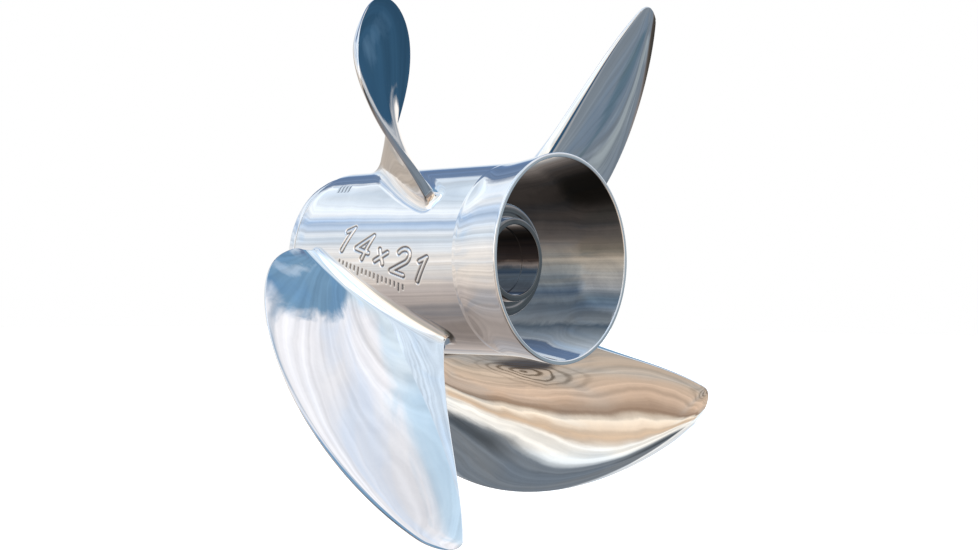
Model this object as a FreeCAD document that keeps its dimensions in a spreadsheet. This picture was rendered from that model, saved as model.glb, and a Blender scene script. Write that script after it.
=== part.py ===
"""Four-blade outboard boat propeller with a through-hub exhaust, as a parametric FreeCAD document.

The shaft axis is Y: +Y points forward along the boat's travel and +Z is up. Places along the shaft are
given from the aft rim, and each finished piece is then moved so that the origin is the centre of the
shaft bore at its forward end, where the thrust washer seats. Lengths are millimetres. Pieces: the cast
barrel, inner hub, exhaust ribs and blades, and the hub kit that carries them on the shaft (drive sleeve,
splined adapter, washers, nut).
"""
import FreeCAD, Part
import Sketcher
import math
import os

from FreeCAD import Placement, Rotation, Vector

doc = FreeCAD.newDocument("boat_propeller")

# Turns a piece that is drawn upright so that its own Z runs forward along the shaft.
ALONG_SHAFT = Rotation(Vector(1, 0, 0), -90)
BLADES = 4
SPLINES = 13
ADAPTER_LOBES = 4
WASHER_TABS = 6

# ---------------------------------------------------------------- driving dimensions

DRIVING = {
    # overall and barrel
    "tip_radius": 177.8,
    "barrel_radius": 54.5,
    "barrel_bore": 51.5,
    "barrel_length": 169.8,
    "rim_radius": 59.0,
    "rim_wall": 2.6,
    "flare_length": 27.0,
    "front_ring_radius": 52.1,
    "front_ring_bore": 48.9,
    "front_ring_length": 10.6,
    "front_bevel": 1.2,
    "rim_rounding": 0.9,
    # inner hub
    "hub_radius": 32.3,
    "hub_aft": 41.9,
    "hub_front": 159.5,
    "hub_rounding": 2.0,
    "collar_radius": 23.8,
    "collar_aft": 34.7,
    "mouth_radius": 19.9,
    "mouth_end": 47.0,
    "socket_radius": 19.2,
    "web_aft": 91.0,
    "web_front": 98.0,
    "web_hole": 16.5,
    # exhaust ribs
    "rib_thickness": 5.0,
    "rib_aft": 84.0,
    "rib_length": 64.0,
    # drive sleeve
    "sleeve_half": 23.0,
    "sleeve_corner": 28.8,
    "sleeve_length": 60.0,
    "sleeve_land": 16.3,
    "slot_radius": 22.0,
    "slot_angle": 50.0,
    # splined adapter
    "adapter_radius": 16.0,
    "adapter_aft": 90.0,
    "adapter_length": 70.0,
    "lobe_radius": 21.5,
    "lobe_angle": 28.0,
    "lobe_aft": 101.0,
    "lobe_length": 50.0,
    "spline_minor": 11.0,
    "spline_major": 12.5,
    "spline_angle": 14.0,
    "pilot_radius": 13.5,
    "pilot_length": 15.0,
    # washers and nut
    "thrust_radius": 26.0,
    "thrust_rim": 4.0,
    "thrust_nose": 20.0,
    "thrust_thickness": 8.5,
    "thrust_cone_small": 14.0,
    "thrust_cone_large": 16.5,
    "spacer_radius": 17.5,
    "spacer_thickness": 4.0,
    "shaft_thread_clear": 9.9,
    "tab_washer_radius": 16.2,
    "tab_washer_thickness": 1.5,
    "tab_length": 1.8,
    "tab_width": 6.0,
    "nut_height": 14.0,
    "nut_flats": 28.6,
    "nut_bore": 8.9,
    "lock_ring_radius": 11.6,
    "lock_ring_bore": 8.6,
    "lock_ring_height": 3.0,
}

sheet = doc.addObject("Spreadsheet::Sheet", "sizes")
for row, (alias, value) in enumerate(DRIVING.items(), start=1):
    sheet.set(f"A{row}", alias.replace("_", " "))
    sheet.set(f"B{row}", str(value))
    sheet.setAlias(f"B{row}", alias)
doc.recompute()


def size(alias):
    """Reads one driving dimension from the sheet as a plain number."""
    return float(sheet.get(alias))


def bind(item, bindings):
    """Ties properties of a document object to expressions on the sheet."""
    for prop, expression in bindings.items():
        item.setExpression(prop, expression)


# ---------------------------------------------------------------- building blocks

def cylinder(name, radius, height, start, turn=0.0, sector=None):
    """A cylinder (or a sector of one) along the shaft, from start forward."""
    item = doc.addObject("Part::Cylinder", name)
    item.Placement = Placement(Vector(), ALONG_SHAFT * Rotation(Vector(0, 0, 1), turn))
    bind(item, {"Radius": radius, "Height": height, "Placement.Base.y": start})
    if sector:
        item.setExpression("Angle", sector)
    return item


def square_bar(name, half, height, start):
    """A square bar centred on the shaft axis, from start forward."""
    item = doc.addObject("Part::Box", name)
    item.Placement = Placement(Vector(), ALONG_SHAFT)
    bind(item, {
        "Length": f"2 * {half}",
        "Width": f"2 * {half}",
        "Height": height,
        "Placement.Base.x": f"-{half}",
        "Placement.Base.y": start,
        "Placement.Base.z": half,
    })
    return item


def cut(name, base, tool):
    item = doc.addObject("Part::Cut", name)
    item.Base = base
    item.Tool = tool
    return item


def common(name, first, second):
    item = doc.addObject("Part::Common", name)
    item.Base = first
    item.Tool = second
    return item


def joined(name, pieces):
    item = doc.addObject("Part::MultiFuse", name)
    item.Shapes = pieces
    return item


def origin_plane(body, role):
    """One of the body's own origin planes, found by its role."""
    return next(plane for plane in body.Origin.OriginFeatures if plane.Role == role)


def turned_body(name, profile):
    """A body turned about the shaft from a closed profile of (radius, axial place) expressions."""
    body = doc.addObject("PartDesign::Body", name)
    sketch = body.newObject("Sketcher::SketchObject", name + "_profile")
    sketch.AttachmentSupport = (origin_plane(body, "XY_Plane"), "")
    sketch.MapMode = "FlatFace"
    corners = [tuple(float(sheet.evalExpression(text)) for text in pair) for pair in profile]
    for index, (radius, place) in enumerate(corners):
        next_radius, next_place = corners[(index + 1) % len(corners)]
        line = Part.LineSegment(Vector(radius, place, 0), Vector(next_radius, next_place, 0))
        sketch.addGeometry(line, False)
    for index in range(len(corners)):
        following = (index + 1) % len(corners)
        sketch.addConstraint(Sketcher.Constraint("Coincident", index, 2, following, 1))
    for index, (radius, place) in enumerate(corners):
        across = sketch.addConstraint(Sketcher.Constraint("DistanceX", -1, 1, index, 1, radius))
        along = sketch.addConstraint(Sketcher.Constraint("DistanceY", -1, 1, index, 1, place))
        sketch.setExpression(f"Constraints[{across}]", profile[index][0])
        sketch.setExpression(f"Constraints[{along}]", profile[index][1])
    turned = body.newObject("PartDesign::Revolution", name + "_turned")
    turned.Profile = sketch
    turned.ReferenceAxis = (sketch, ["V_Axis"])
    turned.Angle = 360.0
    body.Tip = turned
    doc.recompute()
    return body


def round_circles(body, name, radius, circles):
    """Rounds the circular edges of a turned body at the given (radius, axial place) pairs."""
    base = body.Tip
    chosen = []
    for number, edge in enumerate(base.Shape.Edges, start=1):
        if len(edge.Vertexes) > 1:
            continue
        here = (edge.Curve.Radius, edge.CenterOfMass.y)
        if any(math.dist(here, circle) < 1e-3 for circle in circles):
            chosen.append(f"Edge{number}")
    fillet = body.newObject("PartDesign::Fillet", name)
    fillet.Base = (base, chosen)
    fillet.setExpression("Radius", radius)
    body.Tip = fillet
    doc.recompute()


pieces = {}


def keep(name, item):
    """Labels a finished sub-part with its node name and moves it to the shaft bore's origin."""
    item.Label = name
    item.setExpression("Placement.Base.y", "-(sizes.adapter_aft + sizes.adapter_length)")
    pieces[name] = item


# ---------------------------------------------------------------- the casting

def make_outer_barrel():
    """Exhaust barrel: stepped pilot ring in front, plain tube, flared rim aft."""
    ring_start = "sizes.barrel_length - sizes.front_ring_length"
    body = turned_body("barrel", [
        ("sizes.rim_radius - sizes.rim_wall", "0"),
        ("sizes.rim_radius", "0"),
        ("sizes.barrel_radius", "sizes.flare_length"),
        ("sizes.barrel_radius", ring_start),
        ("sizes.front_ring_radius", ring_start),
        ("sizes.front_ring_radius", "sizes.barrel_length - sizes.front_bevel"),
        ("sizes.front_ring_radius - sizes.front_bevel", "sizes.barrel_length"),
        ("sizes.front_ring_bore", "sizes.barrel_length"),
        ("sizes.front_ring_bore", ring_start),
        ("sizes.barrel_bore", "sizes.barrel_length - 1.5 * sizes.front_ring_length"),
        ("sizes.barrel_bore", "sizes.flare_length"),
    ])
    rim_circles = [(size("rim_radius"), 0.0), (size("rim_radius") - size("rim_wall"), 0.0)]
    round_circles(body, "barrel_rounding", "sizes.rim_rounding", rim_circles)
    keep("outer_barrel", body)


def make_inner_hub():
    """Inner hub: stepped aft socket, web that traps the adapter, square seat for the drive sleeve."""
    body = turned_body("hub", [
        ("sizes.mouth_radius", "sizes.collar_aft"),
        ("sizes.collar_radius", "sizes.collar_aft"),
        ("sizes.collar_radius", "sizes.hub_aft"),
        ("sizes.hub_radius", "sizes.hub_aft"),
        ("sizes.hub_radius", "sizes.hub_front"),
        ("sizes.web_hole", "sizes.hub_front"),
        ("sizes.web_hole", "sizes.web_aft"),
        ("sizes.socket_radius", "sizes.web_aft"),
        ("sizes.socket_radius", "sizes.mouth_end"),
        ("sizes.mouth_radius", "sizes.mouth_end"),
    ])
    round_circles(body, "hub_edge", "sizes.hub_rounding", [(size("hub_radius"), size("hub_aft"))])
    seat_length = "sizes.hub_front - sizes.web_front + 1"
    seat_bar = square_bar("seat_bar", "sizes.sleeve_half", seat_length, "sizes.web_front")
    seat_round = cylinder("seat_round", "sizes.sleeve_corner", seat_length, "sizes.web_front")
    seat = common("seat", seat_bar, seat_round)
    keep("inner_hub", cut("inner_hub", body, seat))


def make_exhaust_ribs():
    """Four radial ribs between hub and barrel, midway between the shaft's quarter planes."""
    for number in range(1, BLADES + 1):
        turn = 45.0 + 360.0 / BLADES * (number - 1)
        plate = doc.addObject("Part::Box", f"rib_plate_{number}")
        radial = Rotation(Vector(0, 1, 0), turn)
        plate.Placement = Placement(Vector(), radial)
        bind(plate, {
            "Length": "sizes.rib_thickness",
            "Width": "sizes.rib_length",
            "Height": "sizes.barrel_radius",
            "Placement.Base.x": f"-sizes.rib_thickness / 2 * cos({turn})",
            "Placement.Base.y": "sizes.rib_aft",
            "Placement.Base.z": f"sizes.rib_thickness / 2 * sin({turn})",
        })
        bore = cylinder(f"rib_bore_{number}", "sizes.barrel_bore", "sizes.rib_length", "sizes.rib_aft")
        core = cylinder(f"rib_core_{number}", "sizes.hub_radius", "sizes.rib_length", "sizes.rib_aft")
        inside = common(f"rib_inside_{number}", plate, bore)
        keep(f"exhaust_rib_{number}", cut(f"exhaust_rib_{number}", inside, core))


# Blade shape, as functions of the span fraction u: 0 at the barrel, 1 at the tip.
# The trailing edge's pressure corner: angle about the shaft in degrees and place along it.
TRAILING_ANGLE = (-51.0, -22.7, 4.7, 6.8)
TRAILING_PLACE = (57.8, -45.3, -28.3, 14.7)
# Geometric pitch, which rises towards the tip and sets how steeply the blade lies.
PITCH = (628.4, -416.7, 418.8)
# The root is twisted to a lower pitch over this part of the span.
ROOT_TWIST = 50.0
TWIST_SPAN = 0.18
# Chord beyond the rounded tip corner; it closes as (1 - u) to the power TIP_CLOSURE.
CHORD = (87.9, 92.5, 194.9, 208.9, -99.8)
TIP_CLOSURE = 0.8
TIP_CORNER = 24.5
CORNER_START = 0.905
# The leading edge leaves the barrel further aft and sweeps out over this short part of the span.
ROOT_SWEEP = 15.0
ROOT_SWEEP_SPAN = 0.03
TRAILING_THICKNESS = (5.6, 0.9)
LEADING_THICKNESS = (1.8, 1.0)
BODY_THICKNESS = (4.4, 1.6)
CAMBER = (1.4, 2.4)
# Camber, cup and thickness fade where the chord gets shorter than about this, near the tip.
FULL_CHORD = 30.0
CUP_DEPTH = 1.6
CUP_LENGTH = 10.0
ROOT_FILLET = 7.0
# The pressure side swells towards the barrel, over a short height and from the trailing edge on.
ROOT_SWELL = 3.6
SWELL_HEIGHT = 24.0
SWELL_LENGTH = 8.0
# The rows of points start a little inside the barrel's wall, where the blade is then trimmed.
SPAN_START = -0.02
SPAN_STEPS = 22
SPAN_END = 0.998
CHORD_STEPS = 13


def polynomial(coefficients, u):
    return sum(factor * u ** power for power, factor in enumerate(coefficients))


def between(ends, u):
    return ends[0] + (ends[1] - ends[0]) * u


def eased(step, steps):
    """Runs from 0 to 1 over the steps, closest together at both ends."""
    return 0.5 - 0.5 * math.cos(math.pi * step / (steps - 1))


def blade_point(u, x, suction):
    """A point on a blade: u along the span, x from trailing (0) to leading edge (1)."""
    root = size("barrel_radius")
    radius = root + (size("tip_radius") - root) * u
    angle = math.radians(polynomial(TRAILING_ANGLE, u))
    place = polynomial(TRAILING_PLACE, u)
    pitch = polynomial(PITCH, u) - ROOT_TWIST * math.exp(-max(u, 0.0) / TWIST_SPAN)
    slope = math.atan(pitch / (2 * math.pi * radius))
    corner = max(0.0, (u - CORNER_START) / (1 - CORNER_START))
    trailing = TIP_CORNER * (1 - math.sqrt(1 - corner ** 2))
    leading = TIP_CORNER + polynomial(CHORD, u) * (1 - u) ** TIP_CLOSURE
    leading -= ROOT_SWEEP * math.exp(-max(u, 0.0) / ROOT_SWEEP_SPAN)
    height = min(max(radius - root, 0.0), ROOT_FILLET)
    flare = ROOT_FILLET - math.sqrt(ROOT_FILLET ** 2 - (ROOT_FILLET - height) ** 2)
    trailing -= flare
    leading += flare
    chord = leading - trailing
    along = trailing + chord * x
    fullness = 1 - math.exp(-chord / FULL_CHORD)
    cup = CUP_DEPTH * fullness * (1 - math.exp(-max(along, 0.0) / CUP_LENGTH)) * (1 - x)
    bulge = 4 * x * (1 - x) * fullness
    swell = ROOT_SWELL * math.exp(-max(radius - root, 0.0) / SWELL_HEIGHT)
    swell *= (1 - math.exp(-max(along, 0.0) / SWELL_LENGTH)) * (1 - x ** 3)
    pressure = between(CAMBER, u) * bulge + cup - flare - swell
    thickness = between(TRAILING_THICKNESS, u) * (1 - x) + between(LEADING_THICKNESS, u) * x
    thickness += between(BODY_THICKNESS, u) * bulge + 2 * flare + swell
    lift = pressure + (thickness if suction else 0.0)
    turn = angle + (along * math.cos(slope) - lift * math.sin(slope)) / radius
    forward = place + along * math.sin(slope) + lift * math.cos(slope)
    return Vector(radius * math.sin(turn), forward, radius * math.cos(turn))


def blade_surface(suction):
    """The pressure or suction face as one smooth surface through the blade's section points."""
    spans = [SPAN_START] + [SPAN_END * eased(row, SPAN_STEPS) for row in range(SPAN_STEPS)]
    grid = [
        [blade_point(u, eased(step, CHORD_STEPS), suction) for step in range(CHORD_STEPS)]
        for u in spans
    ]
    surface = Part.BSplineSurface()
    surface.interpolate(grid)
    return surface


def make_blades():
    """Four equal blades, each closed between its two faces, standing on the barrel."""
    faces = [blade_surface(False), blade_surface(True)]
    first, last, left, right = faces[0].bounds()
    rails = [
        [surface.uIso(first).toShape() for surface in faces],
        [surface.uIso(last).toShape() for surface in faces],
        [surface.vIso(left).toShape() for surface in faces],
        [surface.vIso(right).toShape() for surface in faces],
    ]
    closing = [Part.makeRuledSurface(pressure_rail, suction_rail) for pressure_rail, suction_rail in rails]
    skin = Part.makeCompound([surface.toShape() for surface in faces] + closing)
    skin.sewShape(0.01)
    untrimmed = Part.Solid(Part.Shell(skin.Faces))
    if untrimmed.Volume < 0:
        untrimmed.reverse()
    barrel = Part.makeCylinder(
        size("barrel_radius"), size("barrel_length"), Vector(0, 0, 0), Vector(0, 1, 0))
    blade = max(untrimmed.cut(barrel).Solids, key=lambda piece: piece.Volume)
    for number in range(1, BLADES + 1):
        item = doc.addObject("Part::Feature", f"blade_{number}")
        item.Shape = blade
        item.Placement = Placement(Vector(), Rotation(Vector(0, 1, 0), 360.0 / BLADES * (number - 1)))
        keep(f"blade_{number}", item)


# ---------------------------------------------------------------- the hub kit

def make_drive_sleeve():
    """Polymer sleeve: square outside, round lands and four wide slots inside for the adapter's lobes."""
    bar = square_bar("sleeve_bar", "sizes.sleeve_half", "sizes.sleeve_length", "sizes.web_front")
    turned = cylinder("sleeve_corners", "sizes.sleeve_corner", "sizes.sleeve_length", "sizes.web_front")
    blank = common("sleeve_blank", bar, turned)
    tools = [cylinder("sleeve_land", "sizes.sleeve_land", "sizes.sleeve_length", "sizes.web_front")]
    for number in range(ADAPTER_LOBES):
        middle = 45.0 + 360.0 / ADAPTER_LOBES * number
        tools.append(cylinder(
            f"sleeve_slot_{number + 1}", "sizes.slot_radius", "sizes.sleeve_length", "sizes.web_front",
            turn=middle - size("slot_angle") / 2, sector="sizes.slot_angle"))
    keep("drive_sleeve", cut("drive_sleeve", blank, joined("sleeve_opening", tools)))


def make_spline_adapter():
    """Bronze adapter: lobed outside; splined bore for the shaft, plain pilot bore at its front."""
    solids = [cylinder("adapter_tube", "sizes.adapter_radius", "sizes.adapter_length", "sizes.adapter_aft")]
    for number in range(ADAPTER_LOBES):
        middle = 45.0 + 360.0 / ADAPTER_LOBES * number
        solids.append(cylinder(
            f"adapter_lobe_{number + 1}", "sizes.lobe_radius", "sizes.lobe_length", "sizes.lobe_aft",
            turn=middle - size("lobe_angle") / 2, sector="sizes.lobe_angle"))
    outside = joined("adapter_outside", solids)
    tools = [cylinder("adapter_bore", "sizes.spline_minor", "sizes.adapter_length", "sizes.adapter_aft")]
    for number in range(SPLINES):
        tools.append(cylinder(
            f"spline_groove_{number + 1}", "sizes.spline_major", "sizes.adapter_length",
            "sizes.adapter_aft", turn=360.0 / SPLINES * number, sector="sizes.spline_angle"))
    pilot_start = "sizes.adapter_aft + sizes.adapter_length - sizes.pilot_length"
    tools.append(cylinder("pilot_bore", "sizes.pilot_radius", "sizes.pilot_length", pilot_start))
    keep("spline_adapter", cut("spline_adapter", outside, joined("adapter_splines", tools)))


def make_thrust_washer():
    """Forward thrust washer with the coned bore that seats on the shaft's taper."""
    aft = "sizes.adapter_aft + sizes.adapter_length"
    front = aft + " + sizes.thrust_thickness"
    body = turned_body("thrust", [
        ("sizes.thrust_cone_small", aft),
        ("sizes.thrust_radius", aft),
        ("sizes.thrust_radius", aft + " + sizes.thrust_rim"),
        ("sizes.thrust_nose", front),
        ("sizes.thrust_cone_large", front),
    ])
    keep("thrust_washer", body)


def make_aft_spacer():
    """Plain washer between the adapter and the tab washer; it also holds the casting on."""
    aft = "sizes.adapter_aft - sizes.spacer_thickness"
    body = turned_body("spacer", [
        ("sizes.shaft_thread_clear", aft),
        ("sizes.spacer_radius", aft),
        ("sizes.spacer_radius", "sizes.adapter_aft"),
        ("sizes.shaft_thread_clear", "sizes.adapter_aft"),
    ])
    keep("aft_spacer", body)


def make_tab_washer():
    """Lock washer with six flat tabs round its edge, ready to be bent up against the nut."""
    aft = "sizes.adapter_aft - sizes.spacer_thickness - sizes.tab_washer_thickness"
    disc = cylinder("tab_disc", "sizes.tab_washer_radius", "sizes.tab_washer_thickness", aft)
    solids = [disc]
    for number in range(WASHER_TABS):
        turn = 360.0 / WASHER_TABS * number
        tab = doc.addObject("Part::Box", f"washer_tab_{number + 1}")
        tab.Placement = Placement(Vector(), Rotation(Vector(0, 1, 0), turn))
        bind(tab, {
            "Length": "sizes.tab_width",
            "Width": "sizes.tab_washer_thickness",
            "Height": "sizes.tab_washer_radius + sizes.tab_length",
            "Placement.Base.x": f"-sizes.tab_width / 2 * cos({turn})",
            "Placement.Base.y": aft,
            "Placement.Base.z": f"sizes.tab_width / 2 * sin({turn})",
        })
        solids.append(tab)
    hole = cylinder("tab_hole", "sizes.shaft_thread_clear", "sizes.tab_washer_thickness", aft)
    keep("tab_washer", cut("tab_washer", joined("tab_blank", solids), hole))


def make_prop_nut():
    """Hexagon nut with a recess in its aft face for the locking ring."""
    front = "sizes.adapter_aft - sizes.spacer_thickness - sizes.tab_washer_thickness"
    aft = front + " - sizes.nut_height"
    hexagon = doc.addObject("Part::Prism", "nut_hexagon")
    hexagon.Polygon = 6
    hexagon.Placement = Placement(Vector(), ALONG_SHAFT)
    bind(hexagon, {
        "Circumradius": "sizes.nut_flats / sqrt(3)",
        "Height": "sizes.nut_height",
        "Placement.Base.y": aft,
    })
    thread = cylinder("nut_thread", "sizes.nut_bore", "sizes.nut_height", aft)
    recess = cylinder("nut_recess", "sizes.lock_ring_radius", "sizes.lock_ring_height", aft)
    keep("prop_nut", cut("prop_nut", hexagon, joined("nut_opening", [thread, recess])))
    ring_blank = cylinder("lock_ring_blank", "sizes.lock_ring_radius", "sizes.lock_ring_height", aft)
    ring_bore = cylinder("lock_ring_bore", "sizes.lock_ring_bore", "sizes.lock_ring_height", aft)
    keep("nut_lock_ring", cut("nut_lock_ring", ring_blank, ring_bore))


# ---------------------------------------------------------------- build, check and write

def check_document():
    """Stops when an object failed to recompute or a piece isn't one sound solid."""
    for item in doc.Objects:
        if "Invalid" in item.State or "Error" in item.State:
            raise SystemExit(f"{item.Name} failed: {item.State}")
    for name, item in pieces.items():
        shape = item.Shape
        if shape.isNull() or not shape.isValid() or len(shape.Solids) != 1:
            raise SystemExit(f"{name} isn't one valid solid")
        print(f"{name}: {shape.Volume / 1000:.2f} cm3")


make_outer_barrel()
make_inner_hub()
make_exhaust_ribs()
make_blades()
make_drive_sleeve()
make_spline_adapter()
make_thrust_washer()
make_aft_spacer()
make_tab_washer()
make_prop_nut()
doc.recompute()
check_document()

os.makedirs("parts", exist_ok=True)
for name, item in pieces.items():
    item.Shape.exportStep(f"parts/{name}.step")
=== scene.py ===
"""Mirror-polished four-blade outboard propeller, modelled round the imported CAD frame.

The frame's +Y runs forward along the shaft and +Z is up. Places along the shaft are worked out
from the aft rim, in millimetres, and turned into frame metres by shaft_point().
"""
import math

import bpy
import numpy as np
from mathutils import Matrix, Vector


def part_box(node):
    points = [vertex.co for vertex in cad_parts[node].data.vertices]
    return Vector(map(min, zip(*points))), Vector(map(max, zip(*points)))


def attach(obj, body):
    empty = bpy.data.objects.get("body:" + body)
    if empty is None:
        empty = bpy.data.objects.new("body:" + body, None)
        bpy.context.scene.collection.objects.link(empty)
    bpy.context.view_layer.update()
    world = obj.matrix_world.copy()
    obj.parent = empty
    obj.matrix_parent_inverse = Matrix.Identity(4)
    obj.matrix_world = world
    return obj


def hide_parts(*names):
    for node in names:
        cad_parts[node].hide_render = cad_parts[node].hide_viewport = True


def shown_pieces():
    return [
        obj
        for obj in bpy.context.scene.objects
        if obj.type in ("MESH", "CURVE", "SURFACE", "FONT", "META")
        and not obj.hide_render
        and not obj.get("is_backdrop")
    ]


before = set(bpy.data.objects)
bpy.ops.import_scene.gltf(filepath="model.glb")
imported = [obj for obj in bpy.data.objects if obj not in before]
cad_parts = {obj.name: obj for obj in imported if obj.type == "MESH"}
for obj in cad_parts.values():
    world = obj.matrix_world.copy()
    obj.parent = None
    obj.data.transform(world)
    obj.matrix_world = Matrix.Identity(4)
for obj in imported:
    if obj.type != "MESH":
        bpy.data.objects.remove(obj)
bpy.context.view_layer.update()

MM = 0.001
BLADES = 4

# ---------------------------------------------------------------- sizes from the frame, in mm

barrel_low, barrel_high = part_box("outer_barrel")
hub_low, hub_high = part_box("inner_hub")
RIM_PLACE = barrel_low[1] / MM
BARREL_LENGTH = barrel_high[1] / MM - RIM_PLACE
RIM_RADIUS = barrel_high[0] / MM
HUB_RADIUS = hub_high[0] / MM
COLLAR_PLACE = hub_low[1] / MM - RIM_PLACE
HUB_FRONT = hub_high[1] / MM - RIM_PLACE

# Stretches of the casting that the boxes don't give.
BARREL_RADIUS = 54.5
BARREL_BORE = 51.5
RIM_WALL = 2.6
FLARE_LENGTH = 27.0
RING_RADIUS = 52.1
RING_BORE = 48.9
RING_LENGTH = 10.6
HUB_STEP = 7.2
COLLAR_RADIUS = 23.8
MOUTH_RADIUS = 19.9
MOUTH_DEPTH = 12.3
SOCKET_RADIUS = 19.2
WEB_AFT = 91.0
WEB_FRONT = 98.0
WEB_HOLE = 16.5
SEAT_HALF = 23.0
SEAT_CORNER = 28.8
TIP_RADIUS = 177.8


def shaft_point(radius, angle, place):
    """A frame point in metres, from a radius, an angle about the shaft and a place along it.

    The angle is 0 at the top and grows clockwise as seen from aft.
    """
    return (radius * math.sin(angle) * MM, (place + RIM_PLACE) * MM, radius * math.cos(angle) * MM)


# ---------------------------------------------------------------- camera

# Fitted so that rim, barrel and blade outlines fall where the reference view has them.
VIEW_AZIMUTH = math.radians(-50.03)
VIEW_ELEVATION = math.radians(1.14)
VIEW_ROLL = math.radians(0.37)
VIEW_DISTANCE = 0.8557
VIEW_ACROSS = -0.0199
VIEW_UP = -0.0419
FOCAL_WIDTHS = 1.584
SHIFT_ACROSS = -0.0400
SHIFT_UP = 0.0611
SENSOR = 36.0


def make_camera():
    back = Vector((
        math.sin(VIEW_AZIMUTH) * math.cos(VIEW_ELEVATION),
        -math.cos(VIEW_AZIMUTH) * math.cos(VIEW_ELEVATION),
        math.sin(VIEW_ELEVATION)))
    level = Vector((math.cos(VIEW_AZIMUTH), math.sin(VIEW_AZIMUTH), 0.0))
    upright = back.cross(level)
    right = level * math.cos(VIEW_ROLL) + upright * math.sin(VIEW_ROLL)
    up = upright * math.cos(VIEW_ROLL) - level * math.sin(VIEW_ROLL)
    data = bpy.data.cameras.new("camera")
    data.sensor_width = SENSOR
    data.lens = FOCAL_WIDTHS * SENSOR
    data.shift_x = SHIFT_ACROSS
    data.shift_y = SHIFT_UP
    data.clip_start = 0.05
    data.clip_end = 60.0
    camera = bpy.data.objects.new("camera", data)
    rim_centre = Vector((0.0, RIM_PLACE * MM, 0.0))
    place = rim_centre + VIEW_DISTANCE * back + VIEW_ACROSS * right + VIEW_UP * up
    turn = Matrix((right, up, back)).transposed().to_4x4()
    camera.matrix_world = Matrix.Translation(place) @ turn
    bpy.context.scene.collection.objects.link(camera)
    bpy.context.scene.camera = camera


make_camera()

# ---------------------------------------------------------------- mesh tools


def add_mesh(name, points, faces, sharp_angle=None):
    """A smooth-shaded mesh object, with edges sharper than the angle kept crisp."""
    mesh = bpy.data.meshes.new(name)
    mesh.from_pydata([tuple(point) for point in points], [], faces)
    mesh.validate()
    mesh.shade_smooth()
    if sharp_angle is not None:
        mesh.set_sharp_from_angle(angle=math.radians(sharp_angle))
    piece = bpy.data.objects.new(name, mesh)
    bpy.context.scene.collection.objects.link(piece)
    return piece


def grid_faces(rows, columns, close_rows, close_columns, start=0):
    """Quads over a grid of points numbered row by row."""
    faces = []
    for row in range(rows if close_rows else rows - 1):
        here = start + row * columns
        there = start + (row + 1) % rows * columns
        for column in range(columns if close_columns else columns - 1):
            after = (column + 1) % columns
            faces.append((here + column, here + after, there + after, there + column))
    return faces


def rounded(corners, steps=6):
    """A closed outline with each (radius, place, rounding) corner turned into an arc."""
    outline = []
    count = len(corners)
    for index, (radius, place, rounding) in enumerate(corners):
        here = np.array((radius, place))
        if rounding <= 0:
            outline.append(tuple(here))
            continue
        before = np.array(corners[index - 1][:2])
        after = np.array(corners[(index + 1) % count][:2])
        back = (before - here) / np.linalg.norm(before - here)
        ahead = (after - here) / np.linalg.norm(after - here)
        opening = math.acos(float(np.clip(back @ ahead, -1, 1)))
        reach = rounding / math.tan(opening / 2)
        middle = here + (back + ahead) / np.linalg.norm(back + ahead) * rounding / math.sin(opening / 2)
        first = here + back * reach - middle
        last = here + ahead * reach - middle
        swing = math.acos(float(np.clip(first @ last / rounding ** 2, -1, 1)))
        for step in range(steps + 1):
            share = step / steps
            if swing < 1e-6:
                arm = first
            else:
                arm = (math.sin((1 - share) * swing) * first + math.sin(share * swing) * last)
                arm = arm / math.sin(swing)
            outline.append(tuple(middle + arm))
    return outline


def facing_out(points, faces):
    """The faces, turned over if they enclose a negative volume."""
    array = np.array(points)
    corners = np.array([(face[0], *pair) for face in faces for pair in zip(face[1:-1], face[2:])])
    first, second, third = array[corners[:, 0]], array[corners[:, 1]], array[corners[:, 2]]
    volume = float((first * np.cross(second, third)).sum())
    return faces if volume > 0 else [tuple(reversed(face)) for face in faces]


def turned(name, outline, angles, seat=None, sharp_angle=35):
    """A body turned about the shaft. A radius of None in the outline is read from seat(angle)."""
    points = []
    for radius, place in outline:
        for angle in angles:
            points.append(shaft_point(seat(angle) if radius is None else radius, angle, place))
    faces = grid_faces(len(outline), len(angles), True, True)
    return add_mesh(name, points, facing_out(points, faces), sharp_angle)


def even_angles(count):
    return [2 * math.pi * step / count for step in range(count)]


def casting_piece(piece, node):
    """Puts a piece on the casting in place of its CAD node."""
    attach(piece, "casting")
    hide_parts(node)
    return piece


# ---------------------------------------------------------------- engraving on the barrel

# Plain marks are cut on the port side: a size in inches in sloping outlined figures, a row of
# small index strokes under it, and a short hatch near the front. Lengths are millimetres, along
# runs aft and up runs towards the top.
MARK_ANGLE = math.radians(-76.0)
MARK_PLACE = 122.0
MARK_SLOPE = math.radians(-17.0)
GLYPH_HEIGHT = 15.0
GLYPH_WIDTH = 10.5
GLYPH_STEP = 15.5
GLYPH_LEAN = 0.28
STROKE_DEPTH = 0.5
STROKE_REACH = 0.45
OUTLINE_REACH = 1.25
INDEX_STROKES = 17
INDEX_START = 4.0
INDEX_STEP = 3.2
INDEX_TOP = -13.0
INDEX_SHORT_FOOT = -15.6
INDEX_LONG_FOOT = -17.4
HATCH_STROKES = 4
HATCH_STEP = 2.8
HATCH_FOOT = (-20.8, 32.5)
HATCH_HEAD = (-23.0, 38.0)


def arc(across, up, wide, high, start, end, steps=14):
    """Points on part of an ellipse, in glyph units, angles in degrees."""
    swing = [math.radians(start + (end - start) * step / steps) for step in range(steps + 1)]
    return [(across + wide * math.cos(turn), up + high * math.sin(turn)) for turn in swing]


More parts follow.
